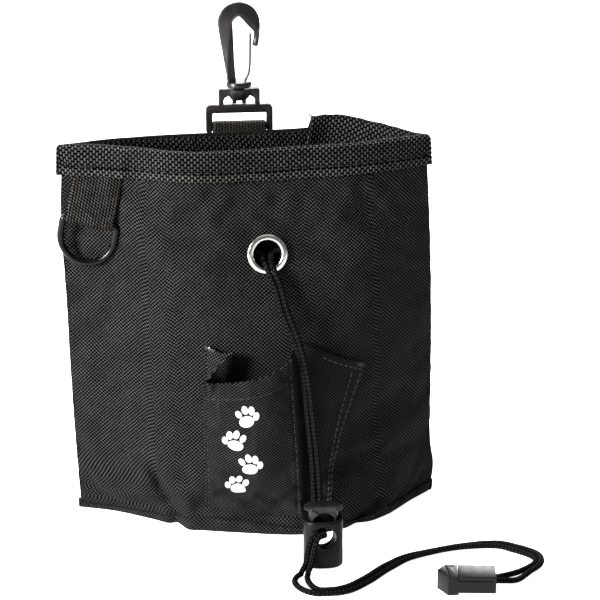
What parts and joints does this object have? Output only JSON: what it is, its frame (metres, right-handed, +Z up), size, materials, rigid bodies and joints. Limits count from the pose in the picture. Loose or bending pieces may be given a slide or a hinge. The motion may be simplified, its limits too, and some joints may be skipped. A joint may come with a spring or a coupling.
{
  "type": "treat pouch",
  "caption": "Fabric treat pouch with a bound rim, a drawcord with cord lock and end clip, a gusseted front pocket, a D-ring on a tab and a swivel snap hook on the back.",
  "frame": {"origin": "centre of the base panel's underside, on the ground the pouch stands on", "axes": "+Z up, -Y the front with the eyelet and the pocket, +X to the right of someone facing the front"},
  "size_m": [0.2053, 0.1398, 0.2284],
  "materials": {
    "outer_fabric": "black oxford polyester, plain weave, matt",
    "lining_fabric": "black coated nylon lining",
    "binding_tape": "black grosgrain-weave binding tape",
    "pocket_fabric": "black oxford polyester, plain weave, matt",
    "webbing": "black-brown nylon webbing",
    "ring_plastic": "gloss black",
    "eyelet_metal": "bright nickel plate",
    "cord": "black braided polyester cord",
    "hook_plastic": "dark grey moulded acetal, satin",
    "lock_plastic": "dark grey moulded plastic, satin",
    "spring_steel": "bright wire",
    "clip_plastic": "grey moulded plastic, satin"
  },
  "bodies": {
    "pouch": {"outer_shell": "outer_fabric", "base_panel": "outer_fabric", "base_binding": "binding_tape", "rim_binding": "binding_tape", "lining_wall": "lining_fabric", "lining_base": "lining_fabric", "cord_channel": "lining_fabric", "drawcord_loop": "cord", "eyelet_flange": "eyelet_metal", "eyelet_washer": "eyelet_metal", "hook_strap": "webbing", "pocket_gusset_left": "pocket_fabric", "pocket_gusset_right": "pocket_fabric", "drawcord_upper": "cord", "drawcord_drop": "cord", "drawcord_tail": "cord", "cord_end_base": "clip_plastic"},
    "pocket": {"pocket_front": "pocket_fabric"},
    "ring_tab": {"d_ring_tab": "webbing"},
    "ring": {"d_ring": "ring_plastic"},
    "hook_frame": {"hook_base": "hook_plastic"},
    "hook": {"hook_body": "hook_plastic"},
    "gate": {"hook_gate": "hook_plastic"},
    "cord_lock": {"cord_lock_barrel": "lock_plastic", "drawcord_in_lock": "cord", "cord_lock_spring": "spring_steel"},
    "lock_button": {"cord_lock_plunger": "lock_plastic"},
    "end_lid": {"cord_end_lid": "clip_plastic"}
  },
  "joints": [
    {"name": "pocket_open", "type": "hinge", "parent": "pouch", "child": "pocket", "pos_m": [-0.0044, -0.04109, 0.011], "axis": [0.9784, -0.1947, -0.0699], "range_deg": [0, 14]},
    {"name": "tab_lift", "type": "hinge", "parent": "pouch", "child": "ring_tab", "pos_m": [-0.0687, -0.00446, 0.1558], "axis": [-0.9667, 0.1705, 0.1908], "range_deg": [0, 50]},
    {"name": "ring_swing", "type": "hinge", "parent": "ring_tab", "child": "ring", "pos_m": [-0.07254, -0.00734, 0.13892], "axis": [-0.9667, 0.1705, 0.1908], "range_deg": [0, 120]},
    {"name": "hook_tilt", "type": "hinge", "parent": "pouch", "child": "hook_frame", "pos_m": [-0.004, 0.0238, 0.1722], "axis": [1, 0, 0], "range_deg": [-110, 55]},
    {"name": "hook_swivel", "type": "hinge", "parent": "hook_frame", "child": "hook", "pos_m": [-0.004, 0.0238, 0.1897], "axis": [0, 0, 1], "continuous": true},
    {"name": "gate_open", "type": "hinge", "parent": "hook", "child": "gate", "pos_m": [-0.001, 0.0238, 0.1934], "axis": [0, -1, 0], "range_deg": [0, 18], "stiffness_Nm_per_rad": 0.05},
    {"name": "lock_slide", "type": "slide", "parent": "pouch", "child": "cord_lock", "axis": [-0.1182, 0.1891, 0.9748], "range_m": [0, 0.085], "deforming": ["drawcord_upper", "drawcord_drop"]},
    {"name": "button_press", "type": "slide", "parent": "cord_lock", "child": "lock_button", "axis": [0, 0, -1], "range_m": [0, 0.0042], "stiffness_N_per_m": 400, "deforming": ["cord_lock_spring"]},
    {"name": "lid_open", "type": "hinge", "parent": "pouch", "child": "end_lid", "pos_m": [0.07608, -0.10252, 0.0086], "axis": [-0.1392, -0.9903, 0], "range_deg": [0, 110]}
  ]
}
